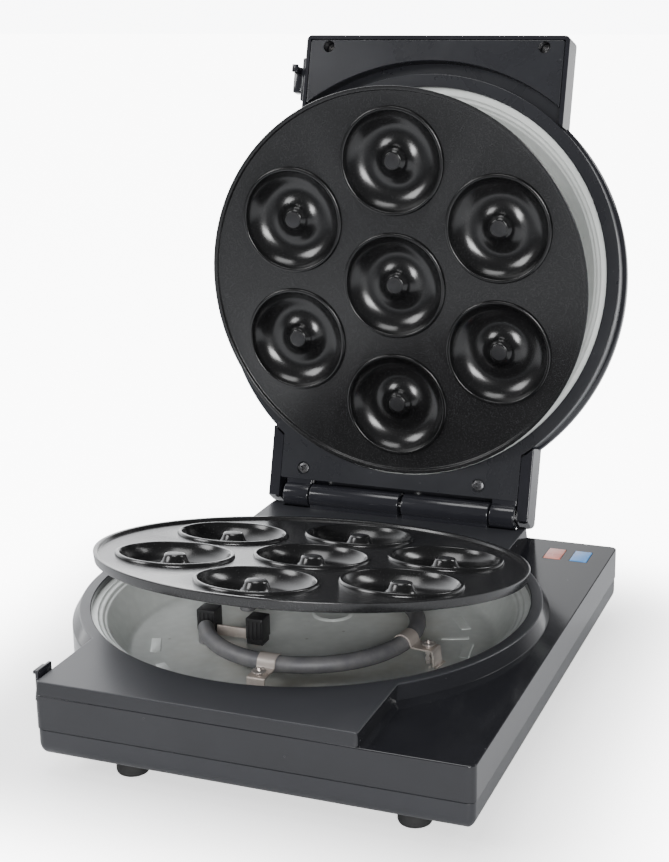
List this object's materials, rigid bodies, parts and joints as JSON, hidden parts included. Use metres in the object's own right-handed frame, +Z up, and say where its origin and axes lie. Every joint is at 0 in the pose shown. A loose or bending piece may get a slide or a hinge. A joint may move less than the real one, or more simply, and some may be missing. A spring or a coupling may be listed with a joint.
{
  "type": "donut maker",
  "caption": "Tabletop electric donut maker standing open, with a hinged lid, ring-shaped wells in two lift-out plates, heaters, pilot lamps and a thumb latch.",
  "frame": {"origin": "centre of the footprint of the whole open appliance, on the surface it stands on", "axes": "+Z up, -Y towards the user and the front edge, +X to the user's right, where the control strip is"},
  "size_m": [0.2256, 0.326, 0.2818],
  "materials": {
    "gloss_black_plastic": "polished moulded black plastic",
    "satin_black_plastic": "satin moulded black plastic",
    "non_stick_coating": "satin black non-stick coating on cast metal",
    "aluminised_steel": "bright aluminised sheet",
    "heater_sheath": "dark oxidised tubular sheath",
    "plated_steel": "nickel-plated screws",
    "black_rubber": "matte black rubber",
    "red_lens": "salmon-red moulded lens",
    "blue_lens": "blue moulded lens",
    "black_phenolic": "matte black phenolic",
    "brass_terminal": "copper-toned terminals",
    "lamp_body": "cream moulded body",
    "hinge_steel": "bright steel rod"
  },
  "bodies": {
    "base": {"base_lower_shell": "satin_black_plastic", "base_screw_1": "plated_steel", "base_screw_2": "plated_steel", "base_screw_3": "plated_steel", "base_screw_4": "plated_steel", "base_upper_shell": "gloss_black_plastic", "blue_lamp": "lamp_body", "blue_lens": "blue_lens", "cord_gland": "black_rubber", "foot_1": "black_rubber", "foot_2": "black_rubber", "foot_3": "black_rubber", "foot_4": "black_rubber", "hinge_pin": "hinge_steel", "latch_catch": "gloss_black_plastic", "lower_clamp_1": "aluminised_steel", "lower_clamp_2": "aluminised_steel", "lower_clamp_screw_1": "plated_steel", "lower_clamp_screw_2": "plated_steel", "lower_heating_element": "heater_sheath", "lower_reflector_pan": "aluminised_steel", "red_lamp": "lamp_body", "red_lens": "red_lens", "terminal_block": "lamp_body", "terminal_left": "brass_terminal", "terminal_right": "brass_terminal", "thermal_fuse": "plated_steel", "thermostat_block_left": "black_phenolic", "thermostat_block_right": "black_phenolic", "thermostat_bracket": "aluminised_steel"},
    "lid": {"latch_guide": "gloss_black_plastic", "lid_inner_frame": "gloss_black_plastic", "lid_outer_cover": "gloss_black_plastic", "lid_screw_1": "plated_steel", "lid_screw_2": "plated_steel", "lid_screw_3": "plated_steel", "lid_screw_4": "plated_steel", "upper_clamp_1": "aluminised_steel", "upper_clamp_2": "aluminised_steel", "upper_clamp_screw_1": "plated_steel", "upper_clamp_screw_2": "plated_steel", "upper_heating_element": "heater_sheath", "upper_reflector_pan": "aluminised_steel"},
    "lower_plate": {"lower_baking_plate": "non_stick_coating"},
    "upper_plate": {"upper_baking_plate": "non_stick_coating"},
    "latch": {"latch_slide": "gloss_black_plastic"}
  },
  "joints": [
    {"name": "lid_hinge", "type": "hinge", "parent": "base", "child": "lid", "pos_m": [-0.00375, 0.08045, 0.0464], "axis": [1, 0, 0], "range_deg": [0, 106.2]},
    {"name": "lower_plate_tilt", "type": "hinge", "parent": "base", "child": "lower_plate", "pos_m": [-0.00375, 0.06216, 0.0378], "axis": [1, 0, 0], "range_deg": [0, 10.1]},
    {"name": "upper_plate_tilt", "type": "hinge", "parent": "lid", "child": "upper_plate", "pos_m": [-0.00375, 0.08623, 0.06378], "axis": [1, 0, 0], "range_deg": [-18.6, 0]},
    {"name": "latch_slide", "type": "slide", "parent": "lid", "child": "latch", "axis": [0, 0.279, 0.9603], "range_m": [0, 0.006]}
  ],
  "couplings": [
    {"joint": "lower_plate_tilt", "follows": "lid_hinge", "ratio": 0.0951},
    {"joint": "upper_plate_tilt", "follows": "lid_hinge", "ratio": -0.1751}
  ]
}
